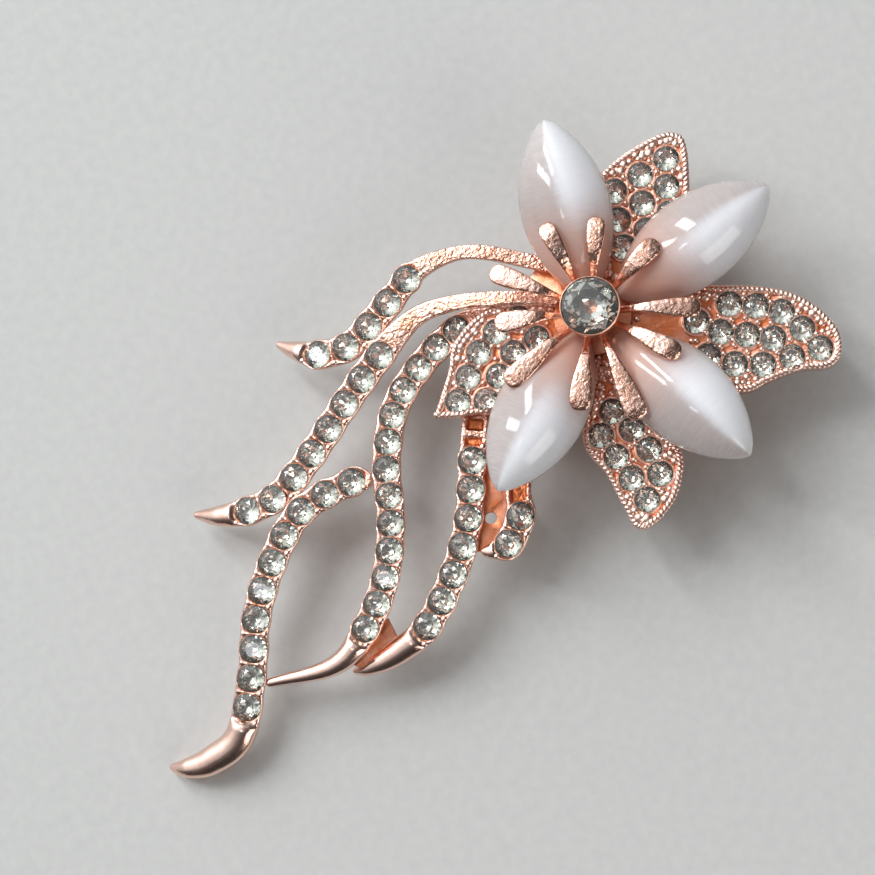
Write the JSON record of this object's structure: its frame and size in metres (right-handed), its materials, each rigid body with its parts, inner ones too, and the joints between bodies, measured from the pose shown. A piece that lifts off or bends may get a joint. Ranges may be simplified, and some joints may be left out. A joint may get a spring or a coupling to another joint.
{
  "type": "decorative hair pin",
  "caption": "Rose-gold floral spray hair pin with cat's-eye petals, stone-set petals and streamers, and a hinged steel pin with a turning safety catch behind.",
  "frame": {"origin": "middle of the overall box in X and Y, on the plane that the back of the pin rests on", "axes": "+Z out of the flower's face, +X along the piece from the streamer tips to the flower, +Y across it; the pin wire lies along Y"},
  "size_m": [0.0673, 0.0325, 0.0133],
  "materials": {
    "rose_gold": "rose-gold plated casting, polished on the edges and finely hammered on the flat faces",
    "clear_stone": "clear faceted glass with a foil back",
    "cats_eye": "polished milky cat's-eye with a bright band along its length",
    "steel_wire": "bright drawn steel wire"
  },
  "bodies": {
    "spray": {"hub_plate": "rose_gold", "streamer_1": "rose_gold", "streamer_2": "rose_gold", "streamer_3": "rose_gold", "streamer_4": "rose_gold", "streamer_5": "rose_gold", "curl_sprig": "rose_gold", "streamer_webs": "rose_gold", "streamer_stones_1": "clear_stone", "streamer_stones_2": "clear_stone", "streamer_stones_3": "clear_stone", "streamer_stones_4": "clear_stone", "streamer_stones_5": "clear_stone", "curl_stones": "clear_stone", "pave_petal_1": "rose_gold", "pave_petal_2": "rose_gold", "pave_petal_3": "rose_gold", "pave_petal_4": "rose_gold", "pave_stones_1": "clear_stone", "pave_stones_2": "clear_stone", "pave_stones_3": "clear_stone", "pave_stones_4": "clear_stone", "opal_seat_1": "rose_gold", "opal_seat_2": "rose_gold", "opal_seat_3": "rose_gold", "opal_seat_4": "rose_gold", "opal_petal_1": "cats_eye", "opal_petal_2": "cats_eye", "opal_petal_3": "cats_eye", "opal_petal_4": "cats_eye", "stamen_plate": "rose_gold", "stamen_spray": "rose_gold", "centre_cup": "rose_gold", "centre_crystal": "clear_stone", "pin_bar": "rose_gold", "hinge_bracket": "rose_gold", "hinge_rivet": "steel_wire", "catch_housing": "rose_gold"},
    "pin": {"pin_stem": "steel_wire"},
    "catch_barrel": {"catch_rotor": "rose_gold"}
  },
  "joints": [
    {"name": "pin_hinge", "type": "hinge", "parent": "spray", "child": "pin", "pos_m": [0.0203, 0.0113, 0.0021], "axis": [1, 0, 0], "range_deg": [0, 80]},
    {"name": "catch_turn", "type": "hinge", "parent": "spray", "child": "catch_barrel", "pos_m": [0.0203, -0.0124, 0.0021], "axis": [0, -1, 0], "range_deg": [0, 110]}
  ]
}
